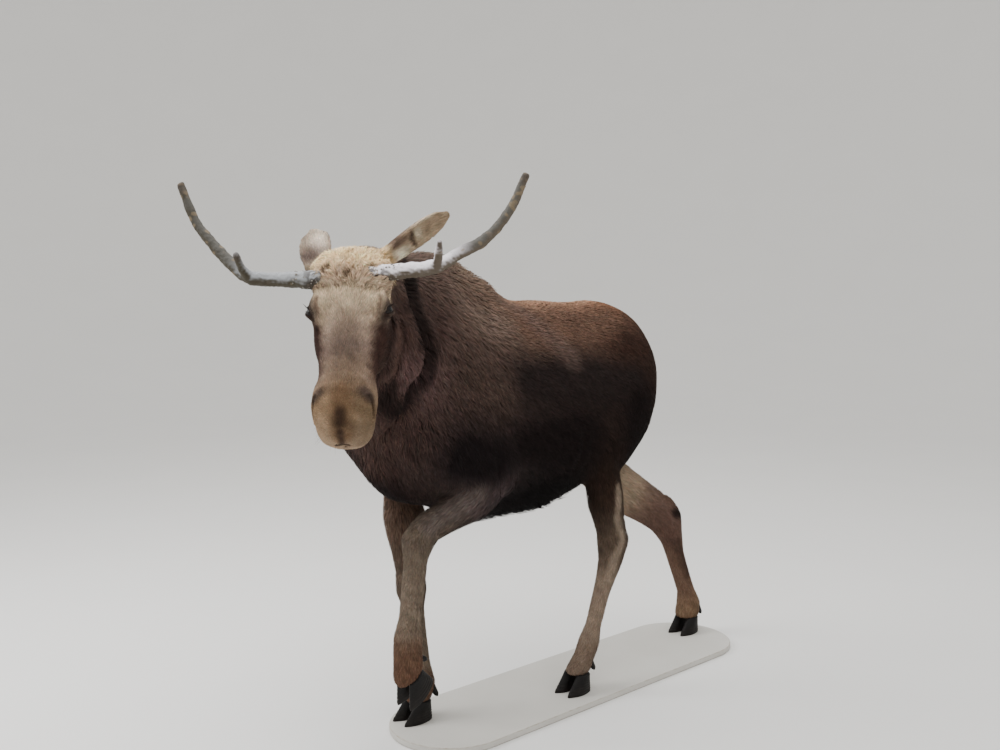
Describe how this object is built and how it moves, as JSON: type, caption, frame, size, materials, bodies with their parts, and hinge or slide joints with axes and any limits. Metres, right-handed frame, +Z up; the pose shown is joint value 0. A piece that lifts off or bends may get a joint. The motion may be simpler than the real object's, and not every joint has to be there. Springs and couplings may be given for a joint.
{
  "type": "moose",
  "caption": "Still, life-size model of a young bull moose in winter coat, walking with one foreleg lifted and its head turned aside, on a flat base.",
  "frame": {"origin": "on the floor, under the middle of the model's box", "axes": "+Z up; the body walks towards -Y; +X is towards its left side"},
  "size_m": [1.0116, 2.71, 2.0104],
  "materials": {
    "body_coat": "long coarse hair, near-black chocolate below, greyer and tipped with fawn over the hump and neck",
    "face_coat": "short dense hair, taupe, with a pale woolly crown and a dark strip down the muzzle",
    "leg_coat": "short flat hair, pale grey-fawn, browner at the fetlocks",
    "antler": "antlers in dull grey velvet, worn brown in places",
    "eye": "wet, dark brown",
    "hoof": "worn black horn with fine growth lines",
    "base": "painted matte stone white"
  },
  "bodies": {
    "root": {"trunk": "body_coat", "neck": "body_coat", "tail": "body_coat", "head": "face_coat", "ear_left": "face_coat", "eye_left": "eye", "antler_left_base": "antler", "antler_left_beam": "antler", "antler_left_tine": "antler", "ear_right": "face_coat", "eye_right": "eye", "antler_right_base": "antler", "antler_right_beam": "antler", "antler_right_tine": "antler", "leg_front_left_upper": "leg_coat", "leg_front_left_lower": "leg_coat", "hoof_front_left_inner": "hoof", "dewclaw_front_left_inner": "hoof", "hoof_front_left_outer": "hoof", "dewclaw_front_left_outer": "hoof", "leg_front_right_upper": "leg_coat", "leg_front_right_lower": "leg_coat", "hoof_front_right_inner": "hoof", "dewclaw_front_right_inner": "hoof", "hoof_front_right_outer": "hoof", "dewclaw_front_right_outer": "hoof", "leg_hind_left_upper": "leg_coat", "leg_hind_left_lower": "leg_coat", "hoof_hind_left_inner": "hoof", "dewclaw_hind_left_inner": "hoof", "hoof_hind_left_outer": "hoof", "dewclaw_hind_left_outer": "hoof", "leg_hind_right_upper": "leg_coat", "leg_hind_right_lower": "leg_coat", "hoof_hind_right_inner": "hoof", "dewclaw_hind_right_inner": "hoof", "hoof_hind_right_outer": "hoof", "dewclaw_hind_right_outer": "hoof", "stand_base": "base"}
  },
  "joints": []
}
